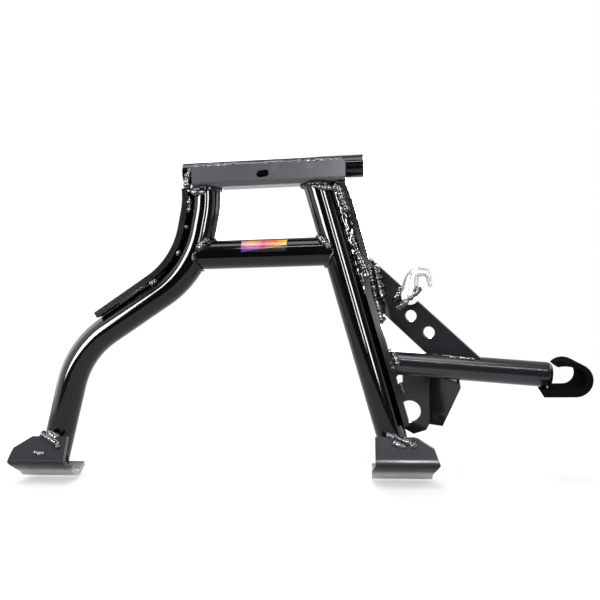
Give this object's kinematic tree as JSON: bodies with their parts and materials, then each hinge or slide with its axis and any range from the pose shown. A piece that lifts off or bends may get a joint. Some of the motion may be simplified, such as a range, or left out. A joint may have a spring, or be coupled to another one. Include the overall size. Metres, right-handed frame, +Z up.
{
  "type": "motorcycle centre stand",
  "caption": "Welded tubular steel stand that pivots under a motorcycle, with two rocker feet, a cross tube, a side foot lever and a spring hook.",
  "frame": {"origin": "the middle of the pivot tube, on its axis", "axes": "+X along the pivot tube towards the foot lever, +Y from the front of the plates to the rear of the frame, +Z up in the plane of the legs"},
  "size_m": [0.5804, 0.056, 0.3234],
  "materials": {
    "black_paint": "gloss black paint on steel",
    "weld_paint": "gloss black paint over weld beads",
    "label_film": "thin glossy film with bright colour fields"
  },
  "bodies": {
    "root": {"pivot_tube": "black_paint", "head_plate": "black_paint", "left_leg_tube": "black_paint", "right_leg_tube": "black_paint", "cross_tube": "black_paint", "left_strap": "black_paint", "right_strap": "black_paint", "left_foot": "black_paint", "right_foot": "black_paint", "lever_tube": "black_paint", "lever_end_cap": "black_paint", "lever_foot_plate": "black_paint", "gusset_plate": "black_paint", "under_bracket": "black_paint", "spring_hook": "black_paint", "hook_boss": "black_paint", "label_film": "label_film", "head_seam": "weld_paint", "left_head_seam": "weld_paint", "right_head_seam": "weld_paint", "left_cross_seam": "weld_paint", "right_cross_seam": "weld_paint", "left_strap_upper_seam": "weld_paint", "left_strap_seam": "weld_paint", "right_strap_seam": "weld_paint", "gusset_strap_seam": "weld_paint", "gusset_lever_seam": "weld_paint", "lever_root_seam": "weld_paint", "hook_boss_seam": "weld_paint", "bracket_strap_seam": "weld_paint", "bracket_lever_seam": "weld_paint", "tread_front_seam": "weld_paint", "tread_rear_seam": "weld_paint", "left_foot_seam": "weld_paint", "right_foot_seam": "weld_paint"}
  },
  "joints": []
}
